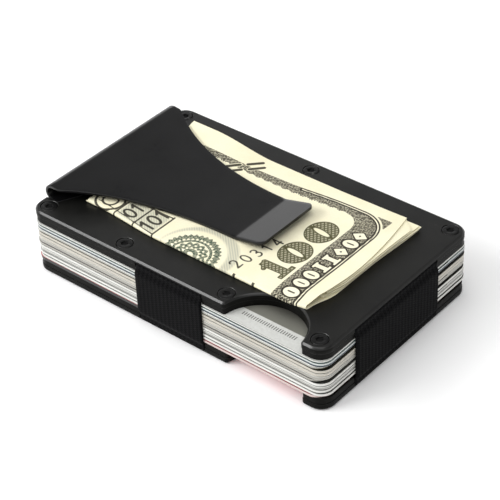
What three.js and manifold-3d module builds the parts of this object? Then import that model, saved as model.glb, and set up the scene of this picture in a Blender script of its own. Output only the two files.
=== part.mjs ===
// A rigid plate wallet, loaded with twelve cards and a folded wad of banknotes.
// Two outer and two inner aluminium plates are screwed together in pairs, elastic webbing
// runs between each pair and holds the two halves together over the cards, and a bent
// spring steel clip on the upper half holds the notes.
// Millimetres, +Z up. X runs along the long side, Y across it. The thumb notches are on the
// -Y side, cards leave past the -X side, and the origin is the centre of the resting face.

import * as THREE from "three";
import { mergeVertices } from "three/addons/utils/BufferGeometryUtils.js";
import Module from "manifold-3d";

const wasm = await Module();
wasm.setup();

// ---------------------------------------------------------------- driving dimensions

const plateLength = 86;
const plateWidth = 54;
const cornerRadius = 3.6;
const totalHeight = 17.2;
const outerThickness = 1.65;
const innerThickness = 1.5;
const plateSeam = 0.05;
const innerInset = 0.12;
const plateChamfer = 0.45;

const notchCentreX = 26.5;
const notchRadius = 10.4;
const notchCentreOut = 0.9;
const notchFillet = 0.8;

const cardLength = 85.6;
const cardWidth = 53.98;
const cardThickness = 0.8;
const cardRadius = 3.18;
const cardCount = 12;
const cardPitch = 0.9;
const cardShifts = [-0.1, 0.2, 0.02, 0.14, 0.06, -0.1, 0.1, 0.04, 0.14, -0.1, 0.16, 0.06];
const cardTrims = [0.9, 0, 0, 0, 0, 0.9, 0, 0, 0, 0.4, 0, 0];

const webThickness = 0.8;
const webGap = 0.05;
const crossWebWidth = 19.4;
const endWebWidth = 30;
const endWebCentreY = -1.2;
const endWebTabStart = 31;
const webPlateReach = 0.2;
const webCardReach = 0.86;
const webCornerChamfer = 0.5;
const webInnerChamfer = 0.1;
const webFlareHeight = 0.9;
const channelClearance = 0.1;

const screwInsetX = 3.4;
const screwInsetY = 3.2;
const frontScrewXs = [-15.7, 14.2];
const headRadius = 1.9;
const headHeight = 0.45;
const headChamfer = 0.12;
const headSink = 0.05;
const headSeatGap = 0.05;
const headClearance = 0.15;
const shankRadius = 0.9;
const shankClearance = 0.08;
const shankLength = 2.9;
const socketRadius = 0.95;
const socketDepth = 0.3;
const socketSides = 6;
const screwTurn = 1;
const eyeletClearance = 0.4;

const clipThickness = 0.7;
const clipHalfWidth = 21.4;
const bendOuterRadius = 2.25;
const bendReach = 0.05;
const baseArcAngles = [180, 270];
const leafArcAngles = [164, 85];
const leafFallBias = 2;
const leafTipX = 4.2;
const leafTipTop = 19;
const leafTipHalfWidth = 9.2;
const leafEndHalfWidth = 9.6;
const leafTaperStartX = -38.5;
const leafTaperControlX = -22.5;
const leafTaperControlY = 9;
const flapLength = 8.2;
const flapAngle = 13;
const flapCornerRadius = 1.8;
const legEndX = -22;
const legHalfWidth = 11.5;
const legShoulderX = -39;
const legNeckX = -34;
const legCornerRadius = 3;
const pocketClearance = 0.1;
const pocketFloorGap = 0.05;
const clipScrewX = -28;
const clipScrewY = 8;
const clipHeadRadius = 1.6;
const clipHeadHeight = 0.35;
const clipShankRadius = 0.75;
const clipShankLength = 1.9;
const clipSocketRadius = 0.7;

const noteLength = 66.3;
const noteWidth = 39;
const noteThickness = 0.46;
const noteGap = 0.06;
const noteStartX = -33.8;
const noteFrontY = -18.9;
const noteBendX = 8;
const noteLifts = [0.35, 1.25];

const arcSteps = 6;
const cardArcSteps = 3;
const bendSteps = 8;
const roundSteps = 20;
const weldTolerance = 1e-4;
const cutMargin = 1;

// ---------------------------------------------------------------- derived places

const halfLength = plateLength / 2;
const halfWidth = plateWidth / 2;
const innerBase = totalHeight - outerThickness - plateSeam - innerThickness;
const outerBase = totalHeight - outerThickness;
const channelDepth = webThickness + 2 * webGap - plateSeam;
const webTop = outerBase + channelDepth - webGap;
const cardStackHeight = (cardCount - 1) * cardPitch + cardThickness;
const cardStackBase = (totalHeight - cardStackHeight) / 2;
const crossChannelHalf = crossWebWidth / 2 + channelClearance;
const endChannelHalf = endWebWidth / 2 + channelClearance;
const crossChannelXs = [-crossChannelHalf, crossChannelHalf];
const endChannelYs = [endWebCentreY - endChannelHalf, endWebCentreY + endChannelHalf];
const screwX = halfLength - screwInsetX;
const screwY = halfWidth - screwInsetY;
const screwPlaces = [
  [-screwX, -screwY],
  [frontScrewXs[0], -screwY],
  [frontScrewXs[1], -screwY],
  [screwX, -screwY],
  [screwX, screwY],
  [0, screwY],
  [-screwX, screwY],
];
const bendCentreX = -halfLength + bendReach + bendOuterRadius;
const bendCentreZ = totalHeight - clipThickness + bendOuterRadius;
const bendMidRadius = bendOuterRadius - clipThickness / 2;
const noteBase = totalHeight + noteGap;

// ---------------------------------------------------------------- materials

const finishes = {
  blackPlate: { color: 0x2b2b2c, roughness: 0.5, metalness: 0.6 },
  blackSteel: { color: 0x303132, roughness: 0.45, metalness: 0.6 },
  blackScrew: { color: 0x1c1c1d, roughness: 0.4, metalness: 0.7 },
  webbing: { color: 0x141415, roughness: 0.95, metalness: 0 },
  card: { color: 0xe4e0d8, roughness: 0.4, metalness: 0 },
  paper: { color: 0xf4eed2, roughness: 0.85, metalness: 0 },
};

const wallet = new THREE.Group();

function addPiece(name, geometry, finish) {
  const mesh = new THREE.Mesh(geometry, new THREE.MeshStandardMaterial(finish));
  mesh.name = name;
  wallet.add(mesh);
}

// ---------------------------------------------------------------- solids

function toSolid(geometry) {
  const bare = geometry.clone();
  bare.deleteAttribute("normal");
  bare.deleteAttribute("uv");
  const merged = mergeVertices(bare, weldTolerance);
  const vertProperties = new Float32Array(merged.attributes.position.array);
  const triVerts = new Uint32Array(merged.index.array);
  return new wasm.Manifold(new wasm.Mesh({ numProp: 3, vertProperties, triVerts }));
}

function toGeometry(solid) {
  const mesh = solid.getMesh();
  const geometry = new THREE.BufferGeometry();
  geometry.setAttribute("position", new THREE.BufferAttribute(mesh.vertProperties, 3));
  geometry.setIndex(new THREE.BufferAttribute(mesh.triVerts, 1));
  geometry.computeVertexNormals();
  return geometry;
}

function cutAll(geometry, cutters) {
  let solid = toSolid(geometry);
  for (const cutter of cutters) {
    solid = solid.subtract(toSolid(cutter));
  }
  return toGeometry(solid);
}

function slab(xs, ys, zs) {
  const box = new THREE.BoxGeometry(xs[1] - xs[0], ys[1] - ys[0], zs[1] - zs[0]);
  return box.translate((xs[0] + xs[1]) / 2, (ys[0] + ys[1]) / 2, (zs[0] + zs[1]) / 2);
}

function peg(x, y, radius, zs, steps = roundSteps) {
  const cylinder = new THREE.CylinderGeometry(radius, radius, zs[1] - zs[0], steps);
  return cylinder.rotateX(Math.PI / 2).translate(x, y, (zs[0] + zs[1]) / 2);
}

function extrudeUp(shape, zs, steps = arcSteps) {
  const options = { depth: zs[1] - zs[0], bevelEnabled: false, curveSegments: steps };
  return new THREE.ExtrudeGeometry(shape, options).translate(0, 0, zs[0]);
}

// A shape drawn in the X-Z plane, extruded along Y.
function extrudeAcross(shape, ys) {
  const options = { depth: ys[1] - ys[0], bevelEnabled: false, curveSegments: arcSteps };
  return new THREE.ExtrudeGeometry(shape, options).rotateX(Math.PI / 2).translate(0, ys[1], 0);
}

// A shape drawn in the Y-Z plane, extruded along X.
function extrudeAlong(shape, xs) {
  const options = { depth: xs[1] - xs[0], bevelEnabled: false, curveSegments: arcSteps };
  const geometry = new THREE.ExtrudeGeometry(shape, options);
  return geometry.rotateX(Math.PI / 2).rotateZ(Math.PI / 2).translate(xs[0], 0, 0);
}

// The lower half of the wallet is the upper half reflected in its middle plane.
function mirrorDown(geometry) {
  const mirrored = geometry.clone();
  mirrored.deleteAttribute("normal");
  mirrored.deleteAttribute("uv");
  mirrored.scale(1, 1, -1);
  mirrored.translate(0, 0, totalHeight);
  const order = mirrored.index.array;
  for (let i = 0; i < order.length; i += 3) {
    [order[i], order[i + 1]] = [order[i + 1], order[i]];
  }
  mirrored.computeVertexNormals();
  return mirrored;
}

// ---------------------------------------------------------------- outlines

function roundedRectangle(length, width, radius) {
  const x = length / 2;
  const y = width / 2;
  const shape = new THREE.Shape();
  shape.absarc(x - radius, -y + radius, radius, -Math.PI / 2, 0, false);
  shape.absarc(x - radius, y - radius, radius, 0, Math.PI / 2, false);
  shape.absarc(-x + radius, y - radius, radius, Math.PI / 2, Math.PI, false);
  shape.absarc(-x + radius, -y + radius, radius, Math.PI, Math.PI * 1.5, false);
  shape.closePath();
  return shape;
}

// A plate's outline: a rounded rectangle with a filleted round thumb notch in its -Y side.
function plateOutline(inset) {
  const x = halfLength - inset;
  const y = halfWidth - inset;
  const corner = cornerRadius - inset;
  const round = notchRadius + inset;
  const fillet = notchFillet;
  const centreY = -halfWidth - notchCentreOut;
  const filletY = -y + fillet;
  const reach = round + fillet;
  const rise = filletY - centreY;
  const run = Math.sqrt(reach * reach - rise * rise);
  const lean = Math.atan2(rise, run);
  const shape = new THREE.Shape();
  shape.absarc(-x + corner, -y + corner, corner, Math.PI, Math.PI * 1.5, false);
  shape.absarc(notchCentreX - run, filletY, fillet, -Math.PI / 2, -lean, false);
  shape.absarc(notchCentreX, centreY, round, Math.PI - lean, lean, true);
  shape.absarc(notchCentreX + run, filletY, fillet, Math.PI + lean, Math.PI * 1.5, false);
  shape.absarc(x - corner, -y + corner, corner, -Math.PI / 2, 0, false);
  shape.absarc(x - corner, y - corner, corner, 0, Math.PI / 2, false);
  shape.absarc(-x + corner, y - corner, corner, Math.PI / 2, Math.PI, false);
  shape.closePath();
  return shape;
}

// A closed strip of constant thickness along a centre line in one plane.
function stripShape(line, thickness) {
  const left = [];
  const right = [];
  line.forEach((point, i) => {
    const before = line[Math.max(i - 1, 0)];
    const after = line[Math.min(i + 1, line.length - 1)];
    const along = after.clone().sub(before).normalize();
    const across = new THREE.Vector2(-along.y, along.x).multiplyScalar(thickness / 2);
    left.push(point.clone().add(across));
    right.push(point.clone().sub(across));
  });
  return new THREE.Shape([...left, ...right.reverse()]);
}

// ---------------------------------------------------------------- plates

function screwHoles() {
  const seat = totalHeight - headSink - headHeight - headSeatGap;
  const cutters = [];
  for (const [x, y] of screwPlaces) {
    cutters.push(peg(x, y, headRadius + headClearance, [seat, totalHeight + cutMargin]));
    cutters.push(peg(x, y, shankRadius + shankClearance, [innerBase - cutMargin, totalHeight]));
  }
  return cutters;
}

function clipScrewHoles() {
  const radius = clipShankRadius + shankClearance;
  const zs = [innerBase - cutMargin, totalHeight + cutMargin];
  return [-clipScrewY, clipScrewY].map((y) => peg(clipScrewX, y, radius, zs));
}

// Where the webbing leaves the plates, their edges step back by its thickness.
function edgeRecesses() {
  const zs = [innerBase - cutMargin, outerBase + cutMargin];
  const recess = webThickness - webPlateReach + webGap;
  return [
    slab(crossChannelXs, [-halfWidth - cutMargin, -halfWidth + recess], zs),
    slab(crossChannelXs, [halfWidth - recess, halfWidth + cutMargin], zs),
    slab([halfLength - recess, halfLength + cutMargin], endChannelYs, zs),
  ];
}

function webChannels() {
  const zs = [outerBase - cutMargin, outerBase + channelDepth];
  return [
    slab(crossChannelXs, [-halfWidth - cutMargin, halfWidth + cutMargin], zs),
    slab([endWebTabStart - channelClearance, halfLength + cutMargin], endChannelYs, zs),
  ];
}

// The clip's foot in plan: as wide as the bend at its shoulder, then a narrower tongue that
// the leaf covers.
function legOutline(grow) {
  const far = legEndX + grow;
  const shoulder = clipHalfWidth + grow;
  const tongue = legHalfWidth + grow;
  const radius = legCornerRadius + grow;
  const shape = new THREE.Shape();
  shape.moveTo(-halfLength - cutMargin, -shoulder);
  shape.lineTo(legShoulderX + grow, -shoulder);
  shape.lineTo(legNeckX + grow, -tongue);
  shape.absarc(far - radius, -tongue + radius, radius, -Math.PI / 2, 0, false);
  shape.absarc(far - radius, tongue - radius, radius, 0, Math.PI / 2, false);
  shape.lineTo(legNeckX + grow, tongue);
  shape.lineTo(legShoulderX + grow, shoulder);
  shape.lineTo(-halfLength - cutMargin, shoulder);
  shape.closePath();
  return shape;
}

function outerPlate(withPocket) {
  const options = {
    depth: outerThickness,
    bevelEnabled: true,
    bevelThickness: plateChamfer,
    bevelSize: plateChamfer,
    bevelOffset: -plateChamfer,
    bevelSegments: 1,
    curveSegments: arcSteps,
  };
  const blank = new THREE.ExtrudeGeometry(plateOutline(0), options);
  blank.translate(0, 0, totalHeight - outerThickness - plateChamfer);
  const underside = slab(
    [-halfLength - cutMargin, halfLength + cutMargin],
    [-halfWidth - cutMargin, halfWidth + cutMargin],
    [0, outerBase],
  );
  const cutters = [underside, ...webChannels(), ...screwHoles()];
  if (withPocket) {
    const floor = totalHeight - clipThickness - pocketFloorGap;
    cutters.push(extrudeUp(legOutline(pocketClearance), [floor, totalHeight + cutMargin]));
    cutters.push(...clipScrewHoles());
  }
  return cutAll(blank, cutters);
}

function innerPlate(withClipScrews) {
  const zs = [innerBase, innerBase + innerThickness];
  const blank = extrudeUp(plateOutline(innerInset), zs);
  const cutters = [...edgeRecesses(), ...screwHoles()];
  if (withClipScrews) {
    cutters.push(...clipScrewHoles());
  }
  return cutAll(blank, cutters);
}

addPiece("top_outer_plate", outerPlate(true), finishes.blackPlate);
addPiece("top_inner_plate", innerPlate(true), finishes.blackPlate);
addPiece("bottom_outer_plate", mirrorDown(outerPlate(false)), finishes.blackPlate);
addPiece("bottom_inner_plate", mirrorDown(innerPlate(false)), finishes.blackPlate);

// ---------------------------------------------------------------- screws

// A flat-headed hex socket screw, its head's top face at z = 0 and its shank pointing down.
function screw(size) {
  const chamfer = headChamfer;
  const profile = [
    [0, -size.length],
    [size.shank, -size.length],
    [size.shank, -size.height],
    [size.head, -size.height],
    [size.head, -chamfer],
    [size.head - chamfer, 0],
    [0, 0],
  ].map(([r, z]) => new THREE.Vector2(r, z));
  const body = new THREE.LatheGeometry(profile, roundSteps).rotateX(Math.PI / 2);
  return cutAll(body, [peg(0, 0, size.socket, [-socketDepth, cutMargin], socketSides)]);
}

const plateScrewSize = {
  head: headRadius,
  height: headHeight,
  shank: shankRadius,
  length: shankLength,
  socket: socketRadius,
};
const clipScrewSize = {
  head: clipHeadRadius,
  height: clipHeadHeight,
  shank: clipShankRadius,
  length: clipShankLength,
  socket: clipSocketRadius,
};

screwPlaces.forEach(([x, y], i) => {
  const upper = screw(plateScrewSize).rotateZ(i * screwTurn);
  upper.translate(x, y, totalHeight - headSink);
  addPiece(`top_screw_${i + 1}`, upper, finishes.blackScrew);
  addPiece(`bottom_screw_${i + 1}`, mirrorDown(upper), finishes.blackScrew);
});

[-clipScrewY, clipScrewY].forEach((y, i) => {
  const piece = screw(clipScrewSize).translate(clipScrewX, y, totalHeight - headSink);
  addPiece(`clip_screw_${i + 1}`, piece, finishes.blackScrew);
});

// ---------------------------------------------------------------- elastic webbing

// Half of the webbing's run round the stack, from the middle of the upper leg to the middle
// of the lower one: flat between the plates, in at their edges and out over the cards.
function webRun(edge, inset, start) {
  const atPlate = edge + webPlateReach - inset;
  const atCards = edge + webCardReach - inset;
  const top = webTop - inset;
  const corner = Math.max(webCornerChamfer - inset, webInnerChamfer);
  const flareTop = innerBase + webFlareHeight;
  const flareEnd = innerBase + webGap;
  const upper = [
    [start, top],
    [atPlate - corner, top],
    [atPlate, top - corner],
    [atPlate, flareTop],
    [atCards, flareEnd],
  ];
  const lower = upper.map(([u, z]) => [u, totalHeight - z]).reverse();
  return [...upper, ...lower].map(([u, z]) => new THREE.Vector2(u, z));
}

function crossWeb() {
  const outer = webRun(halfWidth, 0, 0).slice(1, -1);
  const inner = webRun(halfWidth, webThickness, 0).slice(1, -1);
  const flip = (points) => points.map((p) => new THREE.Vector2(-p.x, p.y)).reverse();
  const shape = new THREE.Shape([...outer, ...flip(outer)].reverse());
  shape.holes.push(new THREE.Path([...inner, ...flip(inner)]));
  const band = extrudeAlong(shape, [-crossWebWidth / 2, crossWebWidth / 2]);
  const eyelet = peg(0, screwY, shankRadius + eyeletClearance, [-cutMargin, totalHeight + cutMargin]);
  return cutAll(band, [eyelet]);
}

function endWeb() {
  const outer = webRun(halfLength, 0, endWebTabStart);
  const inner = webRun(halfLength, webThickness, endWebTabStart).reverse();
  const shape = new THREE.Shape([...outer, ...inner]);
  const half = endWebWidth / 2;
  return extrudeAcross(shape, [endWebCentreY - half, endWebCentreY + half]);
}

addPiece("cross_elastic", crossWeb(), finishes.webbing);
addPiece("end_elastic", endWeb(), finishes.webbing);

// ---------------------------------------------------------------- money clip

const degrees = Math.PI / 180;

function bendArc([from, to]) {
  const arc = new THREE.EllipseCurve(
    bendCentreX,
    bendCentreZ,
    bendMidRadius,
    bendMidRadius,
    from * degrees,
    to * degrees,
    to < from,
  );
  return arc.getPoints(bendSteps / 2);
}

function leafLine() {
  const arc = bendArc(leafArcAngles);
  const start = arc[arc.length - 1];
  const tip = new THREE.Vector2(leafTipX, leafTipTop - clipThickness / 2);
  const controlX = (start.x + tip.x) / 2 + leafFallBias;
  const fallAngle = (90 - leafArcAngles[1]) * degrees;
  const controlZ = start.y - (controlX - start.x) * Math.tan(fallAngle);
  const fall = new THREE.QuadraticBezierCurve(start, new THREE.Vector2(controlX, controlZ), tip);
  const flapRise = flapLength * Math.tan(flapAngle * degrees);
  const end = new THREE.Vector2(leafTipX + flapLength, tip.y + flapRise);
  return [...arc, ...fall.getPoints(bendSteps).slice(1), end];
}

function leafOutline() {
  const endX = leafTipX + flapLength;
  const corner = flapCornerRadius;
  const cornerY = leafEndHalfWidth - corner;
  const shape = new THREE.Shape();
  shape.moveTo(-halfLength - cutMargin, -clipHalfWidth);
  shape.lineTo(leafTaperStartX, -clipHalfWidth);
  shape.quadraticCurveTo(leafTaperControlX, -leafTaperControlY, leafTipX, -leafTipHalfWidth);
  shape.absarc(endX - corner, -cornerY, corner, -Math.PI / 2, 0, false);
  shape.absarc(endX - corner, cornerY, corner, 0, Math.PI / 2, false);
  shape.lineTo(leafTipX, leafTipHalfWidth);
  shape.quadraticCurveTo(leafTaperControlX, leafTaperControlY, leafTaperStartX, clipHalfWidth);
  shape.lineTo(-halfLength - cutMargin, clipHalfWidth);
  shape.closePath();
  return shape;
}

function clipSheet(line, outline) {
  const strip = extrudeAcross(stripShape(line, clipThickness), [-halfWidth, halfWidth]);
  const plan = extrudeUp(outline, [0, totalHeight * 2]);
  return toGeometry(toSolid(strip).intersect(toSolid(plan)));
}

function clipBase() {
  const footEnd = new THREE.Vector2(legEndX + cutMargin, bendCentreZ - bendMidRadius);
  const line = [...bendArc(baseArcAngles), footEnd];
  const seat = totalHeight - headSink - clipHeadHeight - headSeatGap;
  const holes = [-clipScrewY, clipScrewY].flatMap((y) => [
    peg(clipScrewX, y, clipHeadRadius + headClearance, [seat, totalHeight + cutMargin]),
    peg(clipScrewX, y, clipShankRadius + shankClearance, [0, totalHeight + cutMargin]),
  ]);
  return cutAll(clipSheet(line, legOutline(0)), holes);
}

addPiece("clip_base", clipBase(), finishes.blackSteel);
addPiece("clip_leaf", clipSheet(leafLine(), leafOutline()), finishes.blackSteel);

// ---------------------------------------------------------------- cards and notes

// Three of the cards are cut a little short, so their +X ends lie back in the stack.
for (let i = 0; i < cardCount; i += 1) {
  const base = cardStackBase + i * cardPitch;
  const outline = roundedRectangle(cardLength - cardTrims[i], cardWidth, cardRadius);
  const zs = [base, base + cardThickness];
  const middleX = cardShifts[i] - cardTrims[i] / 2;
  const card = extrudeUp(outline, zs, cardArcSteps).translate(middleX, 0, 0);
  addPiece(`card_${String(i + 1).padStart(2, "0")}`, card, finishes.card);
}

// Each note is folded to a quarter of its length, so it is four sheets thick. Past the
// clip's tip its free end springs up a little.
function foldedNote(level, lift) {
  const middle = noteBase + noteThickness / 2 + level * (noteThickness + noteGap);
  const start = new THREE.Vector2(noteStartX, middle);
  const bend = new THREE.Vector2(noteBendX, middle);
  const endX = noteStartX + noteLength;
  const end = new THREE.Vector2(endX, middle + lift);
  const control = new THREE.Vector2((noteBendX + endX) / 2, middle);
  const rise = new THREE.QuadraticBezierCurve(bend, control, end).getPoints(arcSteps);
  const shape = stripShape([start, ...rise], noteThickness);
  return extrudeAcross(shape, [noteFrontY, noteFrontY + noteWidth]);
}

addPiece("banknote_lower", foldedNote(0, noteLifts[0]), finishes.paper);
addPiece("banknote_upper", foldedNote(1, noteLifts[1]), finishes.paper);

export default wallet;
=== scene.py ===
import math

import bmesh
import bpy
import numpy as np
from mathutils import Matrix, Vector


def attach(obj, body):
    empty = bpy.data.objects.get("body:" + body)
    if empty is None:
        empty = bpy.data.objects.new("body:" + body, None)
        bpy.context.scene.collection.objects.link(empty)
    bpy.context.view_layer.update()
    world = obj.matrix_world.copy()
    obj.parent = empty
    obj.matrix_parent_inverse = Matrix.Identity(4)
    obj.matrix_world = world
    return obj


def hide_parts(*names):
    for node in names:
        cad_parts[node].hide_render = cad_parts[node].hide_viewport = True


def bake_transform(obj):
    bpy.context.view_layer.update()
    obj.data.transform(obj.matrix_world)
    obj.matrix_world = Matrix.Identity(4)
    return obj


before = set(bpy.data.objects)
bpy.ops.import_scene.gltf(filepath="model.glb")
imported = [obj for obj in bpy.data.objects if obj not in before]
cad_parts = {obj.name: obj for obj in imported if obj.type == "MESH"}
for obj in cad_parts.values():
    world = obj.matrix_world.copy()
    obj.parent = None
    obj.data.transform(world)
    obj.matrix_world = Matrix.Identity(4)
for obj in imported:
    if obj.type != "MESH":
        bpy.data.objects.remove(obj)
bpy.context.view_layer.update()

# A rigid plate wallet with cards and banknotes. Lengths are in millimetres until a mesh is
# finished, and then in metres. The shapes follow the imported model's dimensions.

MM = 0.001
TAU = 2 * math.pi
scene = bpy.context.scene

# ---------------- dimensions

# Plates: the outer pair is chamfered, and the inner pair clamps the webbing under it.
HALF_LENGTH, HALF_WIDTH, HEIGHT = 43.0, 27.0, 17.2
CORNER = 3.6
OUTER_BASE, INNER_TOP, INNER_BASE = 15.55, 15.5, 14.0
INNER_INSET = 0.12
CHAMFER = 0.45
NOTCH_X, NOTCH_R, NOTCH_OUT, NOTCH_FILLET = 26.5, 10.4, 0.9, 0.8

# Webbing: one band goes across the wallet, and one round its closed end.
WEB_T = 0.8
WEB_TOP = 16.35
CROSS_HALF = 9.7
END_HALF, END_Y, END_START = 15.0, -1.2, 31.0
RIB_PITCH, YARN_PITCH = 1.2, 0.62
SLOT_GAP = 0.1
CROSS_SLOT = (-CROSS_HALF - SLOT_GAP, CROSS_HALF + SLOT_GAP)
END_SLOT = (END_Y - END_HALF - SLOT_GAP, END_Y + END_HALF + SLOT_GAP)

# Screws: places in plan, and sizes as radii, heights and depths.
SCREWS = [
    (-39.6, -23.8), (-15.7, -23.8), (14.2, -23.8), (39.6, -23.8),
    (39.6, 23.8), (0, 23.8), (-39.6, 23.8),
]
HEAD_SINK = 0.05
PLATE_SCREW = dict(head=1.9, height=0.45, shank=0.9, length=2.9, socket=0.95, depth=0.34)
CLIP_SCREW = dict(head=1.6, height=0.35, shank=0.75, length=1.9, socket=0.7, depth=0.25)
CLIP_SCREWS = [(-28, -8), (-28, 8)]
CLIP_HOLE = CLIP_SCREW["shank"] + 0.08

# Clip: a foot in the plate's pocket, a bend at -X, and a leaf that narrows to a turned-up flap.
CLIP_T, CLIP_HALF = 0.7, 21.4
BEND_X, BEND_Z, BEND_R = -40.7, 18.75, 1.89
FOOT_END, FOOT_STEPS = -22, 34
SHOULDER_X, TONGUE_HALF, TONGUE_R = (-39, -34), 11.5, 3
LEAF_X, WAIST_X, WAIST_HALF = -38.5, -22.5, 9
TIP_X, TIP_TOP, TIP_HALF = 4.2, 19.0, 9.2
FLAP_LENGTH, FLAP_SPREAD, FLAP_R = 8.2, 0.4, 1.8

# Cards: a stack of twelve, some of them a little out of line or cut short at +X.
CARD_T, CARD_PITCH, CARD_R = 0.8, 0.9, 3.18
CARD_HALF_LENGTH, CARD_HALF_WIDTH = 42.8, 26.99
FILM_T = 0.11
CARD_BASE = 3.25
CARD_SHIFTS = [-0.1, 0.2, 0.02, 0.14, 0.06, -0.1, 0.1, 0.04, 0.14, -0.1, 0.16, 0.06]
CARD_TRIMS = [0.9, 0, 0, 0, 0, 0.9, 0, 0, 0, 0.4, 0, 0]

# Banknotes: the folded wad in plan, the levels it fills, and one sheet's thickness.
NOTE_X0 = -33.7
NOTE_Y0, NOTE_Y1 = -18.9, 20.1
NOTE_BASE, NOTE_DEPTH = 17.26, 0.98
SHEET_T = 0.09


# ---------------- mesh tools

def arc(cx, cy, r, start, end, steps):
    return [(cx + r * math.cos(a), cy + r * math.sin(a)) for a in np.linspace(start, end, steps + 1)]


def plate_outline(inset):
    """The plates' outline, moved in by inset: a rounded rectangle with the round thumb notch."""
    x, y = HALF_LENGTH - CORNER, HALF_WIDTH - CORNER
    corner = CORNER - inset
    fillet_y = -HALF_WIDTH + NOTCH_FILLET
    centre_y = -HALF_WIDTH - NOTCH_OUT
    rise = fillet_y - centre_y
    run = math.sqrt((NOTCH_R + NOTCH_FILLET) ** 2 - rise ** 2)
    lean = math.atan2(rise, run)
    fillet = NOTCH_FILLET - inset
    pi = math.pi
    return (
        arc(-x, -y, corner, pi, 1.5 * pi, 14)
        + arc(NOTCH_X - run, fillet_y, fillet, -pi / 2, -lean, 7)
        + arc(NOTCH_X, centre_y, NOTCH_R + inset, pi - lean, lean, 44)
        + arc(NOTCH_X + run, fillet_y, fillet, pi + lean, 1.5 * pi, 7)
        + arc(x, -y, corner, -pi / 2, 0, 14)
        + arc(x, y, corner, 0, pi / 2, 14)
        + arc(-x, y, corner, pi / 2, pi, 14)
    )


def loft(rings, closed=False):
    """Faces between matching rings of points, with a cap at each end unless it closes on itself."""
    count = len(rings[0])
    verts = [p for ring in rings for p in ring]
    faces = []
    total = len(rings)
    for k in range(total if closed else total - 1):
        a, b = k * count, (k + 1) % total * count
        for i in range(count):
            j = (i + 1) % count
            faces.append((a + i, a + j, b + j, b + i))
    if not closed:
        faces.append(tuple(range(count - 1, -1, -1)))
        faces.append(tuple(range((total - 1) * count, total * count)))
    return verts, faces


def solid(outline, profile):
    """A plate from an outline that takes an inset, and a profile of (inset, z) going up."""
    return loft([[(x, y, z) for x, y in outline(inset)] for inset, z in profile])


def box(xs, ys, zs):
    ring = [(xs[0], ys[0]), (xs[1], ys[0]), (xs[1], ys[1]), (xs[0], ys[1])]
    return loft([[(x, y, z) for x, y in ring] for z in zs])


def lathe(x, y, profile, steps=48):
    angles = np.linspace(0, TAU, steps, endpoint=False)
    return loft([[(x + r * math.cos(a), y + r * math.sin(a), z) for a in angles] for r, z in profile])


def merge(parts):
    verts, faces = [], []
    for v, f in parts:
        base = len(verts)
        verts += v
        faces += [tuple(i + base for i in face) for face in f]
    return verts, faces


def make_object(name, shape):
    mesh = bpy.data.meshes.new(name)
    mesh.from_pydata([tuple(map(float, v)) for v in shape[0]], [], shape[1])
    mesh.update()
    obj = bpy.data.objects.new(name, mesh)
    scene.collection.objects.link(obj)
    return obj


def cut(name, shape, *cutters):
    """shape less each cutter, as an object."""
    obj = make_object(name, shape)
    tools = [make_object(f"{name}_cut", cutter) for cutter in cutters]
    for tool in tools:
        modifier = obj.modifiers.new("cut", "BOOLEAN")
        modifier.operation = "DIFFERENCE"
        modifier.solver = "EXACT"
        modifier.object = tool
    graph = bpy.context.evaluated_depsgraph_get()
    mesh = bpy.data.meshes.new_from_object(obj.evaluated_get(graph))
    obj.modifiers.clear()
    obj.data = mesh
    for tool in tools:
        bpy.data.objects.remove(tool)
    return obj


def mirror_down(obj, name):
    """A copy of obj reflected in the wallet's middle plane."""
    mesh = obj.data.copy()
    mesh.transform(Matrix.Translation((0, 0, HEIGHT)) @ Matrix.Diagonal((1, 1, -1, 1)))
    mesh.flip_normals()
    copy = bpy.data.objects.new(name, mesh)
    scene.collection.objects.link(copy)
    return copy


def finish_piece(obj, material, nodes, body=None, angle=38, weighted=True):
    """Scales a mesh to metres, shades it, gives it its finish, hides the CAD parts it replaces, and attaches
    it to its body.
    """
    mesh = obj.data
    mesh.transform(Matrix.Scale(MM, 4))
    mesh.materials.clear()
    mesh.materials.append(material)
    mesh.polygons.foreach_set("use_smooth", [True] * len(mesh.polygons))
    mesh.set_sharp_from_angle(angle=math.radians(angle))
    if weighted:
        modifier = obj.modifiers.new("normals", "WEIGHTED_NORMAL")
        modifier.keep_sharp = True
        modifier.weight = 80
    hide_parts(*nodes)
    if body:
        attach(obj, body)
    return obj


# ---------------- material tools

def linear(r, g, b):
    """A display colour from 0 to 255 as linear RGBA."""
    def channel(c):
        return c / 255 / 12.92 if c < 11 else ((c / 255 + 0.055) / 1.055) ** 2.4
    return channel(r), channel(g), channel(b), 1


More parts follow.
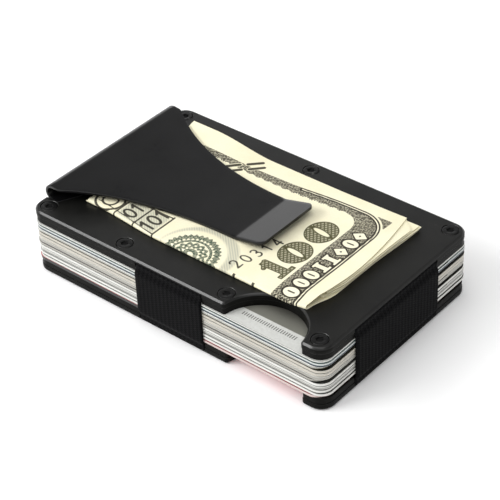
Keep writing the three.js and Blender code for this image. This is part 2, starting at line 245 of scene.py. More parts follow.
class Material:
    """A node material. Each method adds a node and gives back its output socket."""

    def __init__(self, name, **values):
        self.data = bpy.data.materials.new(name)
        self.data.use_nodes = True
        self.tree = self.data.node_tree
        self.shader = self.tree.nodes["Principled BSDF"]
        for key, value in values.items():
            self.set(key.replace("_", " "), value)

    def set(self, key, value):
        socket = self.shader.inputs[key]
        if isinstance(value, bpy.types.NodeSocket):
            self.tree.links.new(value, socket)
        else:
            socket.default_value = value

    def add(self, kind, inputs, out=0, **settings):
        node = self.tree.nodes.new("ShaderNode" + kind)
        for key, value in settings.items():
            setattr(node, key, value)
        for key, value in inputs.items():
            if isinstance(value, bpy.types.NodeSocket):
                self.tree.links.new(value, node.inputs[key])
            else:
                node.inputs[key].default_value = value
        return node.outputs[out]

    def place(self, scale=(1, 1, 1)):
        """Object coordinates in millimetres, times scale."""
        point = self.add("TexCoord", {}, "Object")
        return self.add("Mapping", {"Vector": point, "Scale": tuple(1000 * s for s in scale)})

    def split(self, vector):
        node = self.tree.nodes.new("ShaderNodeSeparateXYZ")
        self.tree.links.new(vector, node.inputs[0])
        return node.outputs

    def noise(self, vector, scale, detail=3, rough=0.55):
        return self.add("TexNoise", {"Vector": vector, "Scale": scale, "Detail": detail, "Roughness": rough})

    def math(self, operation, a, b=0.0, c=0.0):
        return self.add("Math", {0: a, 1: b, 2: c}, operation=operation)

    def times(self, a, b):
        return self.math("MULTIPLY", a, b)

    def plus(self, a, b):
        return self.math("ADD", a, b)

    def wave(self, value, pitch):
        return self.math("SINE", self.times(value, TAU / pitch))

    def upright(self):
        """How far the surface faces up or down: 1 on flat faces and 0 on walls."""
        return self.math("ABSOLUTE", self.split(self.add("NewGeometry", {}, "Normal"))[2])

    def span(self, value, low, high, start=0.0, end=1.0, kind="SMOOTHSTEP"):
        """Maps value from low..high to start..end, held at both ends."""
        keys = {"Value": value, "From Min": low, "From Max": high, "To Min": start, "To Max": end}
        return self.add("MapRange", keys, interpolation_type=kind)

    def mix(self, factor, a, b):
        return self.add("Mix", {0: factor, 6: a, 7: b}, 2, data_type="RGBA")

    def attribute(self, name):
        return self.add("Attribute", {}, "Fac", attribute_name=name)

    def bump(self, height, strength, distance):
        keys = {"Height": height, "Strength": strength, "Distance": distance * MM}
        self.set("Normal", self.add("Bump", keys, "Normal"))


# ---------------- materials

def coated_metal(name, dark, light, rough, grain, specular, cut_edges):
    """A satin black coat: a fine blasted grain, faint cloudy patches and a few rubbed spots.
    With cut_edges, walls are duller and the cut chamfer between wall and face is brighter."""
    m = Material(name, Specular_IOR_Level=specular)
    place = m.place()
    fine = m.noise(place, 9.0, 4, 0.7)
    cloud = m.noise(place, 0.09, 4, 0.6)
    rubbed = m.span(m.noise(place, 0.35, 6, 0.75), 0.62, 0.8)
    base = m.mix(m.span(cloud, 0.3, 0.7, kind="LINEAR"), dark, light)
    m.set("Base Color", m.mix(m.times(rubbed, 0.35), base, linear(70, 70, 70)))
    spread = m.times(m.math("SUBTRACT", fine, 0.5), 0.12)
    patch = m.times(m.math("SUBTRACT", cloud, 0.5), 0.10)
    satin = m.plus(m.plus(spread, patch), rough)
    if cut_edges:
        upright = m.upright()
        wall = m.span(upright, 0.45, 0.2)
        cut_edge = m.times(m.span(upright, 0.2, 0.5), m.span(upright, 0.97, 0.85))
        satin = m.math("SUBTRACT", satin, m.times(cut_edge, 0.06))
        shine = m.math("SUBTRACT", specular, m.times(wall, 0.85 * specular))
        m.set("Specular IOR Level", m.plus(shine, m.times(cut_edge, 0.12)))
    m.set("Roughness", satin)
    m.bump(fine, 0.6, grain)
    return m.data


def screw_material():
    """Black oxide with a fine grain, and a painted highlight in patches on the raised edges."""
    m = Material("screw_black", Metallic=0.55)
    fine = m.noise(m.place(), 6.0, 4, 0.65)
    # Painted highlight: the raised edges are lightened towards pale grey in patches.
    edge_highlight = m.span(m.add("NewGeometry", {}, "Pointiness"), 0.52, 0.60)
    edge_highlight = m.times(edge_highlight, m.span(fine, 0.35, 0.65))
    m.set("Base Color", m.mix(m.times(edge_highlight, 0.6), linear(24, 24, 24), linear(120, 118, 114)))
    m.set("Roughness", m.span(fine, 0.3, 0.7, 0.30, 0.46, "LINEAR"))
    m.bump(fine, 0.4, 0.01)
    return m.data


def webbing_material():
    """Black elastic: bundled ribs along the band, with rows of fine filling yarn across them."""
    m = Material("webbing", Roughness=0.9, Sheen_Weight=0.03, Sheen_Roughness=0.5, Specular_IOR_Level=0.05)
    across, along = m.split(m.add("UVMap", {}, uv_map="web"))[0:2]
    rib = m.math("ABSOLUTE", m.wave(across, 2 * RIB_PITCH))
    half_step = m.times(m.math("FLOOR", m.math("DIVIDE", across, RIB_PITCH / 2)), math.pi)
    row = m.math("SINE", m.plus(m.times(along, TAU / YARN_PITCH), half_step))
    fuzz = m.noise(m.place(), 5.0, 5, 0.75)
    cell = m.times(m.plus(row, 1.0), 0.5)
    light = m.times(m.plus(cell, m.math("SUBTRACT", rib, 0.2)), fuzz)
    m.set("Base Color", m.mix(m.span(light, 0.1, 1.0, kind="LINEAR"), linear(2, 2, 3), linear(22, 22, 23)))
    m.bump(m.plus(m.times(cell, 0.6), m.times(fuzz, 0.5)), 0.8, 0.08)
    return m.data


plate_black = coated_metal("plate_black", linear(11, 11, 10), linear(22, 22, 20), 0.36, 0.012, 0.40, True)
clip_black = coated_metal("clip_black", linear(10, 10, 11), linear(15, 15, 16), 0.30, 0.008, 0.42, False)
screw_black = screw_material()
webbing = webbing_material()


# ---------------- plates

OUTER_PROFILE = [
    (0.10, OUTER_BASE), (0.03, OUTER_BASE + 0.03), (0, OUTER_BASE + 0.10),
    (0, HEIGHT - CHAMFER - 0.06), (0.012, HEIGHT - CHAMFER - 0.02), (0.045, HEIGHT - CHAMFER + 0.035),
    (CHAMFER - 0.035, HEIGHT - 0.045), (CHAMFER + 0.02, HEIGHT - 0.012), (CHAMFER + 0.07, HEIGHT),
]
INNER_PROFILE = [
    (INNER_INSET + 0.10, INNER_BASE), (INNER_INSET + 0.03, INNER_BASE + 0.03),
    (INNER_INSET, INNER_BASE + 0.10), (INNER_INSET, INNER_TOP - 0.10),
    (INNER_INSET + 0.03, INNER_TOP - 0.03), (INNER_INSET + 0.10, INNER_TOP),
]


def foot_outline(grow):
    """The clip foot's pocket in plan: as wide as the bend at its shoulder, then a tongue."""
    far, shoulder = FOOT_END + grow, CLIP_HALF + grow
    tongue, radius = TONGUE_HALF + grow, TONGUE_R + grow
    wide_x, narrow_x = SHOULDER_X[0] + grow, SHOULDER_X[1] + grow
    pi = math.pi
    return (
        [(-HALF_LENGTH - 1, -shoulder), (wide_x, -shoulder), (narrow_x, -tongue)]
        + arc(far - radius, -tongue + radius, radius, -pi / 2, 0, 10)
        + arc(far - radius, tongue - radius, radius, 0, pi / 2, 10)
        + [(narrow_x, tongue), (wide_x, shoulder), (-HALF_LENGTH - 1, shoulder)]
    )


def counterbore(x, y, size):
    """The space of a screw in its plates, with a small chamfer at the rim."""
    seat = HEIGHT - HEAD_SINK - size["height"] - 0.05
    hole, rim = size["shank"] + 0.08, size["head"] + 0.15
    profile = [(hole, INNER_BASE - 1), (hole, seat), (rim, seat), (rim, HEIGHT - 0.08)]
    return lathe(x, y, profile + [(rim + 0.08, HEIGHT), (rim + 0.08, HEIGHT + 1)])


def web_slots():
    """The channels in an outer plate that the webbing lies in."""
    zs = (OUTER_BASE - 1, WEB_TOP + 0.05)
    return [
        box(CROSS_SLOT, (-HALF_WIDTH - 1, HALF_WIDTH + 1), zs),
        box((END_START - SLOT_GAP, HALF_LENGTH + 1), END_SLOT, zs),
    ]


def edge_recesses():
    """The shallow recesses in an inner plate's edges where the webbing turns down."""
    zs = (INNER_BASE - 1, INNER_TOP + 1)
    depth = 0.65
    return [
        box(CROSS_SLOT, (-HALF_WIDTH - 1, -HALF_WIDTH + depth), zs),
        box(CROSS_SLOT, (HALF_WIDTH - depth, HALF_WIDTH + 1), zs),
        box((HALF_LENGTH - depth, HALF_LENGTH + 1), END_SLOT, zs),
    ]


screw_spaces = merge([counterbore(x, y, PLATE_SCREW) for x, y in SCREWS])
clip_bore = [(CLIP_HOLE, INNER_BASE - 1), (CLIP_HOLE, HEIGHT + 1)]
clip_holes = merge([lathe(x, y, clip_bore) for x, y in CLIP_SCREWS])
pocket_floor = HEIGHT - CLIP_T - 0.05
pocket = solid(foot_outline, [(0.1, pocket_floor), (0.1, HEIGHT - 0.06), (0.16, HEIGHT), (0.16, HEIGHT + 1)])

outer_shape = solid(plate_outline, OUTER_PROFILE)
inner_shape = solid(plate_outline, INNER_PROFILE)
bottom_outer = cut("blank", outer_shape, merge(web_slots()), screw_spaces)
bottom_inner = cut("blank", inner_shape, merge(edge_recesses()), screw_spaces)
top_outer = cut("plate_top_outer", outer_shape, merge(web_slots() + [pocket]), screw_spaces, clip_holes)
top_inner = cut("plate_top_inner", inner_shape, merge(edge_recesses()), screw_spaces, clip_holes)

finish_piece(top_outer, plate_black, ["top_outer_plate"], "top_assembly")
finish_piece(top_inner, plate_black, ["top_inner_plate"], "top_assembly")
for blank, name, node in [
    (bottom_outer, "plate_bottom_outer", "bottom_outer_plate"),
    (bottom_inner, "plate_bottom_inner", "bottom_inner_plate"),
]:
    finish_piece(mirror_down(blank, name), plate_black, [node], "bottom_assembly")
    bpy.data.objects.remove(blank)


# ---------------- screws

def screw_shape(size, steps=48):
    """A flat-headed hex socket screw with its head's top at z = 0."""
    angles = np.linspace(0, TAU, steps, endpoint=False)
    sixth = math.pi / 3
    apothem = size["socket"] * math.cos(sixth / 2)
    hexagon = [apothem / math.cos((a + sixth / 2) % sixth - sixth / 2) for a in angles]
    head, shank = size["head"], size["shank"]
    under, tip, floor = -size["height"], -size["length"], -size["depth"]
    outside = [
        (shank - 0.12, tip), (shank, tip + 0.12), (shank, under - 0.02), (shank + 0.02, under),
        (head - 0.05, under), (head, under + 0.05), (head, -0.15),
        (head - 0.03, -0.07), (head - 0.09, -0.02), (head - 0.18, 0),
    ]
    socket = [(1.12, 0), (1.04, -0.02), (1, -0.07), (1, floor + 0.03), (0.96, floor)]
    rings = [([r] * steps, z) for r, z in outside]
    rings += [([h * grow for h in hexagon], z) for grow, z in socket]
    return loft([[(r * math.cos(a), r * math.sin(a), z) for r, a in zip(ring, angles)] for ring, z in rings])


for i, (x, y) in enumerate(SCREWS):
    place = Matrix.Translation((x, y, HEIGHT - HEAD_SINK)) @ Matrix.Rotation(i, 4, "Z")
    upper = make_object(f"screw_top_{i + 1}", screw_shape(PLATE_SCREW))
    upper.data.transform(place)
    lower = mirror_down(upper, f"screw_bottom_{i + 1}")
    finish_piece(upper, screw_black, [f"top_screw_{i + 1}"], "top_assembly")
    finish_piece(lower, screw_black, [f"bottom_screw_{i + 1}"], "bottom_assembly")

for i, (x, y) in enumerate(CLIP_SCREWS):
    piece = make_object(f"screw_clip_{i + 1}", screw_shape(CLIP_SCREW))
    piece.data.transform(Matrix.Translation((x, y, HEIGHT - HEAD_SINK)))
    finish_piece(piece, screw_black, [f"clip_screw_{i + 1}"], "top_assembly")


# ---------------- elastic webbing

def unit(vector):
    return vector / np.linalg.norm(vector)


def rounded(points, radii, counts, steps=6):
    """A polyline with its inner corners rounded, each straight stretch cut into counts pieces."""
    points = [np.array(p, float) for p in points]
    path = [points[0]]
    for i in range(1, len(points)):
        here, last = points[i], i == len(points) - 1
        target = here if last else here + unit(points[i - 1] - here) * radii[i - 1]
        start = path[-1]
        path += [start + (target - start) * t for t in np.linspace(0, 1, counts[i - 1] + 1)[1:]]
        if not last:
            on = here + unit(points[i + 1] - here) * radii[i - 1]
            for t in np.linspace(0, 1, steps + 1)[1:]:
                path.append(target * (1 - t) ** 2 + here * 2 * t * (1 - t) + on * t * t)
    return path


def web_side(edge, inset, start):
    """The band's run in section at one edge of the plates, from the upper leg to the lower one."""
    top = WEB_TOP - inset
    plate, cards = edge + 0.2 - inset, edge + 0.84 - inset
    upper = [(start, top), (plate, top), (plate, INNER_BASE + 1.0), (cards, INNER_BASE)]
    lower = [(u, HEIGHT - z) for u, z in reversed(upper)]
    corner = 0.6 if inset == 0 else 0.15
    return rounded(upper + lower, [corner, 0.4, 0.5, 0.5, 0.4, corner], [6, 3, 3, 44, 3, 3, 6])


def cross_run(inset):
    """The band's whole loop across the wallet, in section."""
    side = web_side(HALF_WIDTH, inset, 0)[1:-1]
    return side + [np.array((-u, z)) for u, z in reversed(side)]


def web_shape(outer, inner, half, closed, edge):
    """A woven band: a grid along its run and round its section, ribbed where it is past edge."""
    stations = np.linspace(-1, 1, int(half * 2 / 0.15) + 1)
    lengths = np.concatenate([[0], np.cumsum([np.linalg.norm(b - a) for a, b in zip(outer, outer[1:])])])
    count, flat = len(outer), half - 0.12
    rings, uvs = [], []
    for i, s in enumerate(lengths):
        before, after = outer[max(i - 1, 0)], outer[min(i + 1, count - 1)]
        if closed:
            before, after = outer[i - 1], outer[(i + 1) % count]
        out = unit(np.array([-(after - before)[1], (after - before)[0]]))
        if np.dot(out, outer[i] - inner[i]) < 0:
            out = -out
        shown = float(abs(outer[i][0]) > edge - 0.5)
        middle = (outer[i] + inner[i]) / 2
        scallop = half - 0.05 + 0.05 * math.cos(TAU * s / 0.95) * shown
        ring = []
        for t in stations:
            across = t * flat
            rib = 0.5 + 0.5 * math.cos(TAU * across / RIB_PITCH)
            row = math.cos(TAU * s / YARN_PITCH + math.pi * round(across / RIB_PITCH))
            rim = 1 - min(1, (1 - abs(t)) * half / 0.5)
            sink = shown * (0.10 - 0.07 * rib * (0.8 + 0.2 * row) + 0.22 * rim ** 2)
            ring.append((across, *(outer[i] - out * sink)))
        ring.append((scallop, *middle))
        ring += [(t * flat, *inner[i]) for t in stations[::-1]]
        ring.append((-scallop, *middle))
        rings.append(ring)
        uvs += [(t * flat, s) for t in stations] + [(half, s)]
        uvs += [(t * half, s) for t in stations[::-1]] + [(-half, s)]
    return loft(rings, closed), uvs


def make_web(name, node, shape, uvs, turn):
    """Places a band with turn, and gives it its weave's UVs and its finish."""
    verts, faces = shape
    obj = make_object(name, ([turn(*v) for v in verts], faces))
    mesh = obj.data
    corners = np.array(uvs)[[loop.vertex_index for loop in mesh.loops]]
    mesh.uv_layers.new(name="web").data.foreach_set("uv", corners.ravel())
    finish_piece(obj, webbing, [node], angle=60, weighted=False)
    bm = bmesh.new()
    bm.from_mesh(mesh)
    bmesh.ops.recalc_face_normals(bm, faces=bm.faces)
    bm.to_mesh(mesh)
    bm.free()
    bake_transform(obj)


cross, cross_uvs = web_shape(cross_run(0), cross_run(WEB_T), CROSS_HALF, True, HALF_WIDTH)
make_web("band_cross", "cross_elastic", cross, cross_uvs, lambda across, u, z: (across, -u, z))
end_runs = [web_side(HALF_LENGTH, inset, END_START) for inset in (0, WEB_T)]
end, end_uvs = web_shape(*end_runs, END_HALF, False, HALF_LENGTH)
make_web("band_end", "end_elastic", end, end_uvs, lambda across, u, z: (u, END_Y + across, z))


# ---------------- money clip

def bezier(start, control, end, t):
    return start * (1 - t) ** 2 + control * 2 * t * (1 - t) + end * t * t


def clip_line():
    """The clip's middle line in section: foot, bend, leaf, and the flap that turns up past the tip."""
    foot = [(x, BEND_Z - BEND_R) for x in np.linspace(FOOT_END, BEND_X, FOOT_STEPS)]
    bend = arc(BEND_X, BEND_Z, BEND_R, 1.5 * math.pi, math.radians(85), 30)[1:]
    start, tip = bend[-1], (TIP_X, TIP_TOP - CLIP_T / 2)
    control_x = (start[0] + tip[0]) / 2 + 2
    control = (control_x, start[1] - (control_x - start[0]) * math.tan(math.radians(5)))
    leaf = [tuple(bezier(start[k], control[k], tip[k], t) for k in (0, 1)) for t in np.linspace(0, 1, 60)[1:]]
    fold_reach, fold_steps = 0.45, 6
    line = foot + bend + [p for p in leaf if p[0] < TIP_X - fold_reach]
    slope = math.atan2(tip[1] - control[1], tip[0] - control[0])
    flap_slope = math.radians(13)
    x, z = tip[0] - fold_reach * math.cos(slope), tip[1] - fold_reach * math.sin(slope)
    for k in range(fold_steps + 1):
        angle = slope + (flap_slope - slope) * k / fold_steps
        line.append((x, z))
        x += 2 * fold_reach / fold_steps * math.cos(angle)
        z += 2 * fold_reach / fold_steps * math.sin(angle)
    x, z = line[-1]
    run = TIP_X + FLAP_LENGTH - x - 0.02
    for t in np.sin(np.linspace(0, math.pi / 2, 26))[1:]:
        line.append((x + run * t, z + run * t * math.tan(flap_slope)))
    return line


def round_end(x, end, half, radius):
    """Half the width at x of a strip of half width half, whose corners at end have this radius."""
    past = max(0, x - (end - radius))
    return half - radius + math.sqrt(max(radius ** 2 - past * past, 0.0004))


def clip_half_width(x, foot):
    """Half the clip's width at x, on its foot or on its leaf."""
    if foot:
        if x < SHOULDER_X[0]:
            return CLIP_HALF
        if x < SHOULDER_X[1]:
            step = (x - SHOULDER_X[0]) / (SHOULDER_X[1] - SHOULDER_X[0])
            return CLIP_HALF + (TONGUE_HALF - CLIP_HALF) * step
        return round_end(x, FOOT_END, TONGUE_HALF, TONGUE_R)
    if x < LEAF_X:
        return CLIP_HALF
    if x < TIP_X:
        low, high = 0.0, 1.0
        for _ in range(30):
            t = (low + high) / 2
            low, high = (t, high) if bezier(LEAF_X, WAIST_X, TIP_X, t) < x else (low, t)
        return bezier(CLIP_HALF, WAIST_HALF, TIP_HALF, t)
    spread = FLAP_SPREAD * (x - TIP_X) / FLAP_LENGTH
    return round_end(x, TIP_X + FLAP_LENGTH, TIP_HALF + spread, FLAP_R)


def clip_shape():
    """The strip swept along its line, with soft edges and its width changing as it goes."""
    line = clip_line()
    last = len(line) - 1
    edge, columns = 0.14, np.linspace(-1, 1, 25)
    rings = []
    for i, (x, z) in enumerate(line):
        before, after = line[max(i - 1, 0)], line[min(i + 1, last)]
        along = np.array([after[0] - before[0], after[1] - before[1]])
        along /= np.linalg.norm(along)
        normal = np.array([-along[1], along[0]])
        half = CLIP_T / 2 * (0.7 if i in (0, last) else 1.0)
        reach = max(clip_half_width(x, foot=i < FOOT_STEPS) - edge, 0.05)
        rim = [(reach + edge * 0.7, half - edge * 0.3), (reach + edge, half - edge)]
        side = rim + [(y, -n) for y, n in reversed(rim)]
        section = [(c * reach, half) for c in columns] + side
        section += [(c * reach, -half) for c in columns[::-1]] + [(-y, -n) for y, n in side]
        rings.append([(x + normal[0] * n, y, z + normal[1] * n) for y, n in section])
    return loft(rings)


foot_seat = HEIGHT - HEAD_SINK - CLIP_SCREW["height"] - 0.05
foot_rim = CLIP_SCREW["head"] + 0.15
foot_bore = [(CLIP_HOLE, 15), (CLIP_HOLE, foot_seat), (foot_rim, foot_seat), (foot_rim, 17.6)]
clip = cut("clip_spring", clip_shape(), merge([lathe(x, y, foot_bore) for x, y in CLIP_SCREWS]))
finish_piece(clip, clip_black, ["clip_base", "clip_leaf"], angle=40)
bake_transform(clip)


# ---------------- cards

def card_outline(shift, trim):
    """A card's outline for solid(), moved along X by shift and cut short at +X by trim."""
    left = CARD_R - CARD_HALF_LENGTH + shift
    right = CARD_HALF_LENGTH - CARD_R + shift - trim
    y = CARD_HALF_WIDTH - CARD_R
    pi = math.pi

    def outline(inset):
        r = CARD_R - inset
        low = arc(left, -y, r, pi, 1.5 * pi, 10) + arc(right, -y, r, -pi / 2, 0, 10)
        return low + arc(right, y, r, 0, pi / 2, 10) + arc(left, y, r, pi / 2, pi, 10)

    return outline


def shade(colour, amount):
    return tuple(amount * c for c in colour[:3]) + (1,)


def card_edge(m, base, core, film, lines):
    """The colour of a card's edge: a streaky core between two films, crossed by printed lines."""
    level = m.math("SUBTRACT", m.split(m.place())[2], base)
    streak = m.noise(m.place((0.25, 0.25, 9)), 1.0, 4, 0.6)
    colour = m.mix(m.span(streak, 0.3, 0.75), core, shade(core, 0.72))
    films = [(-1, FILM_T, film), (CARD_T - FILM_T, 2, film)]
    for low, high, tint in films + lines:
        inside = m.times(m.span(level, low - 0.02, low + 0.02), m.span(level, high + 0.02, high - 0.02))
        colour = m.mix(inside, colour, tint)
    return colour


def card_label(m, x, y, grain):
    """The face seen in the notch: a pale strip with a row of ticks, and a darker swirled ground."""
    ground = m.mix(m.span(y, -22.0, -15.5), linear(120, 120, 112), linear(52, 51, 46))
    swirl = m.math("SINE", m.times(m.noise(m.place(), 0.035, 1), 60))
    swirled = m.times(m.span(swirl, 0.6, 1), m.span(y, -17, -10))
    ground = m.mix(swirled, ground, linear(104, 102, 92))
    strip = m.mix(m.span(grain, 0.2, 0.8), linear(206, 207, 202), linear(220, 221, 217))
    face = m.mix(m.span(y, -22.2, -22.3), ground, strip)
    height = m.plus(0.34, m.times(m.noise(m.place((1, 0, 0)), 2.1, 1), 0.42))
    row = m.math("LESS_THAN", m.math("ABSOLUTE", m.plus(y, 23.7)), height)
    ends = m.math("LESS_THAN", m.math("ABSOLUTE", m.math("SUBTRACT", x, 26.0)), 7.4)
    tick = m.span(m.wave(x, 0.62), 0.1, 0.35)
    return m.mix(m.times(m.times(m.times(row, ends), tick), 0.85), face, linear(70, 70, 68))


def card_material(name, base, core, film, lines, face, accent, trait):
    """A laminated card: printed films over a core, seen as thin lines along its edge."""
    m = Material(name, Roughness=0.32, Coat_Weight=0.25, Coat_Roughness=0.12)
    place = m.place()
    x, y = m.split(place)[0:2]
    grain = m.noise(place, 1.6, 4, 0.6)
    edge = card_edge(m, base, core, film, lines)
    # Painted shade: card_01's edge is darkened towards -X.
    if trait == "painted_shade_half":
        edge = m.mix(m.span(x, 9, 1), edge, linear(22, 21, 21))
    if trait == "label":
        printed = card_label(m, x, y, grain)
    else:
        printed = m.mix(m.span(grain, 0.2, 0.8, kind="LINEAR"), face, shade(face, 0.86))
        wash = m.math("SINE", m.plus(m.times(x, 0.22), m.times(y, 0.13)))
        printed = m.mix(m.span(wash, -0.5, 1.0, 0, 0.35), printed, accent)
    stripe = m.span(m.math("ABSOLUTE", m.math("SUBTRACT", y, 12.0)), 6.4, 6.35)
    printed = m.mix(stripe, printed, linear(24, 22, 22))
    m.set("Base Color", m.mix(m.span(m.upright(), 0.75, 0.85), edge, printed))
    m.bump(grain, 0.15, 0.01)
    return m.data


WHITE, PALE, CREAM = linear(230, 230, 225), linear(190, 190, 184), linear(204, 198, 185)
GREY, DARK, BLUE = linear(118, 118, 112), linear(16, 16, 16), linear(200, 209, 209)
BEIGE, PINK, ROSE = linear(176, 173, 164), linear(216, 196, 191), linear(84, 34, 34)
INK, OLIVE, GREEN = linear(12, 32, 48), linear(78, 74, 52), linear(8, 48, 40)
RED = linear(206, 60, 70)

# Each card from the lowest up: core, films, the lines on its edge as (from, to, colour) heights,
# face, and the face's second colour.
CARDS = [
    (PINK, PINK, [(0.62, 0.9, ROSE)], RED, PINK),
    (WHITE, PINK, [(-0.1, 0.08, ROSE), (0.66, 0.9, GREY)], DARK, GREY),
    (WHITE, PALE, [(0.64, 0.9, GREY)], PALE, BLUE),
    (PALE, WHITE, [(-0.1, 0.2, DARK), (0.42, 0.5, GREY)], WHITE, PALE),
    # card_05's dark face is painted shade: it shows in the recess below card_06's shorter end.
    (WHITE, PALE, [(-0.1, 0.16, GREY)], DARK, GREY),
    (BEIGE, BEIGE, [(0.56, 0.9, DARK), (0.2, 0.27, GREY)], BEIGE, INK),
    (BEIGE, PALE, [(0.42, 0.5, GREY)], WHITE, CREAM),
    (CREAM, PALE, [(-0.1, 0.1, GREY), (0.4, 0.46, BEIGE)], CREAM, GREEN),
    # card_09's dark face is painted shade: it shows in the recess below card_10's shorter end.
    (CREAM, CREAM, [(-0.1, 0.16, OLIVE), (0.6, 0.7, BEIGE)], DARK, OLIVE),
    (PALE, WHITE, [(-0.1, 0.3, OLIVE), (0.5, 0.56, GREY)], WHITE, BLUE),
    (BLUE, WHITE, [(0.06, 0.5, INK)], BLUE, INK),
    (WHITE, WHITE, [(-0.1, 0.4, GREEN), (0.68, 0.9, GREY)], GREY, OLIVE),
]
# card_01's edge carries painted shade towards -X.
CARD_TRAITS = {0: "painted_shade_half", 11: "label"}
CARD_PROFILE = [
    (0.09, 0), (0.03, 0.02), (0, 0.08),
    (0, CARD_T - 0.08), (0.03, CARD_T - 0.02), (0.09, CARD_T),
]

for i, (core, film, lines, face, accent) in enumerate(CARDS):
    low = CARD_BASE + i * CARD_PITCH
    outline = card_outline(CARD_SHIFTS[i], CARD_TRIMS[i])
    shape = solid(outline, [(inset, low + z) for inset, z in CARD_PROFILE])
    name = f"card_{i + 1:02d}"
    trait = CARD_TRAITS.get(i)
    laminate = card_material(f"laminate_{i + 1:02d}", low, core, film, lines, face, accent, trait)
    finish_piece(make_object(f"plastic_{name}", shape), laminate, [name], name)


# ---------------- banknotes

def smooth(value, low, high):
    t = np.clip((value - low) / (high - low), 0, 1)
    return t * t * (3 - 2 * t)


def run(y0, y1, z, steps, reach):
    """A flat stretch of a folded sheet: (y, z, the x where its end edge lies)."""
    return [(y, z, reach(y)) for y in np.linspace(y0, y1, steps)]


def turn(y, z0, z1, side, steps, reach):
    """A fold between two levels, bulging towards side * Y."""
    middle, radius = (z0 + z1) / 2, (z1 - z0) / 2
    angles = np.linspace(0, math.pi, steps)[1:-1]
    return [(y + side * abs(radius) * math.sin(a), middle - radius * math.cos(a), reach(y)) for a in angles]


def low_reach(y):
    """Where the sheets on the plate end: square at the back, rounded off at the front fold."""
    return 33.4 + 0.7 * smooth(y, 2, 18) - 1.8 * (1 - smooth(y, -18.4, -9.5))


def top_reach(y):
    """Where the top sheet ends: furthest near the middle, bowed back towards both folds."""
    return 33.4 - (0.0095 if y < -4 else 0.0054) * (y + 4) ** 2


def outer_sheet():
    """The outermost note: under the wad, round its front, over the top and doubled back inside."""
    low, top, second, third = 17.31, 18.19, 18.08, 17.97
    front, back, inner_front = NOTE_Y0 + 0.45, NOTE_Y1 - 0.07, -12.2

    def under(y):
        return max(low_reach(y), top_reach(front))

    def tucked(y):
        return 33.6 + 0.012 * y - 0.9 * (1 - smooth(y, inner_front, -7))

    def doubled(y):
        return tucked(y) - (tucked(back) - top_reach(back)) * smooth(y, 16.5, back)

    return (
        run(NOTE_Y1 - 0.6, front, low, 24, under)
        + turn(front, low, top, -1, 16, top_reach)
        + run(front, back, top, 130, top_reach)
        + turn(back, top, second, 1, 6, top_reach)
        + run(back, inner_front, second, 30, doubled)
        + turn(inner_front, second, third, -1, 6, tucked)
        + run(inner_front, NOTE_Y1 - 0.5, third, 20, lambda y: tucked(y) + 0.2)
    )


def inner_sheets():
    """The notes inside the fold, four sheets deep."""
    levels = [17.43, 17.55, 17.67, 17.79]
    front, back = -13.0, NOTE_Y1 - 0.16

    def reach(add):
        """Ends that differ a little from sheet to sheet and wander along the edge."""
        def at(y):
            fold_back = 0.5 * (1 - smooth(y, front, -8))
            return low_reach(y) + add - fold_back + 0.12 * math.sin(0.3 * y + 9 * add)
        return at

    return (
        run(back - 0.3, front, levels[0], 24, reach(0.0))
        + turn(front, levels[0], levels[3], -1, 12, reach(0.1))
        + run(front, back, levels[3], 24, reach(0.2))
        + turn(back, levels[3], levels[2], 1, 6, reach(0.05))
        + run(back, front + 0.45, levels[2], 24, reach(0.1))
        + turn(front + 0.45, levels[2], levels[1], -1, 6, reach(0.1))
        + run(front + 0.45, back - 0.7, levels[1], 24, reach(-0.15))
    )


def wad_offset(x, y, level):
    """How far a point of the wad stands off its flat place, as (y, z): sprung up at its free
    end and at the back corner beside the clip, and a little narrower under the clip."""
    end = np.clip((x - 8) / 25, 0, 1) ** 2
    gape = 0.1 + 1.35 * smooth(y, NOTE_Y0 - 0.3, -14.2) - 0.35 * smooth(y, -11, 0) - 0.4 * smooth(y, 11, 20)
    corner = smooth(-x, 8, 26) * np.clip((y - 8) / 12, 0, 1) ** 1.6
    lift = end * gape * level ** 2.4 + 2.1 * corner * level
    ripple = 0.05 * np.sin(0.31 * x + 1.7 + 4 * level) * np.sin(0.23 * y) * level * smooth(x, 10, 24)
    narrow = 1.3 * smooth(-x, 10, 30) * (1 - (y - NOTE_Y0) / (NOTE_Y1 - NOTE_Y0))
    tuck = 0.85 * smooth(x, 26.5, 32.5) * (1 - smooth(y, NOTE_Y0 + 0.6, -11))
    return narrow + tuck, lift + ripple


def wad_shape(path, x_steps):
    """A folded sheet with thickness, and for each point its place on the unfolded sheet."""
    path = np.array(path)
    section, reach = path[:, :2], path[:, 2]
    before = np.vstack([section[:1], section[:-1]])
    after = np.vstack([section[1:], section[-1:]])
    along = after - before
    along /= np.linalg.norm(along, axis=1)[:, None]
    normal = np.stack([along[:, 1], -along[:, 0]], axis=1) * SHEET_T / 2
    skins = np.vstack([section + normal, (section - normal)[::-1]])
    reach = np.concatenate([reach, reach[::-1]])
    steps = np.concatenate([[0], np.cumsum(np.linalg.norm(np.diff(section, axis=0), axis=1))])
    front = int(np.argmin(section[:, 0]))
    unfolded = NOTE_Y0 + steps - steps[front]
    unfolded = np.concatenate([unfolded, unfolded[::-1]])
    level = (np.concatenate([section[:, 1], section[::-1, 1]]) - NOTE_BASE) / NOTE_DEPTH
    start = NOTE_X0 + 0.5 * level + 0.15 * np.sin(9 * level)
    rings, places = [], []
    for t in np.linspace(0, 1, x_steps):
        x = start + (reach - start) * t
        aside, lift = wad_offset(x, skins[:, 0], level)
        rings.append(np.stack([x, skins[:, 0] + aside, skins[:, 1] + lift], axis=1).tolist())
        places.append(np.stack([x, unfolded], axis=1))
    verts, faces = loft(rings)
    return (verts, faces[:-2] + strip_caps(len(skins), x_steps)), np.vstack(places)


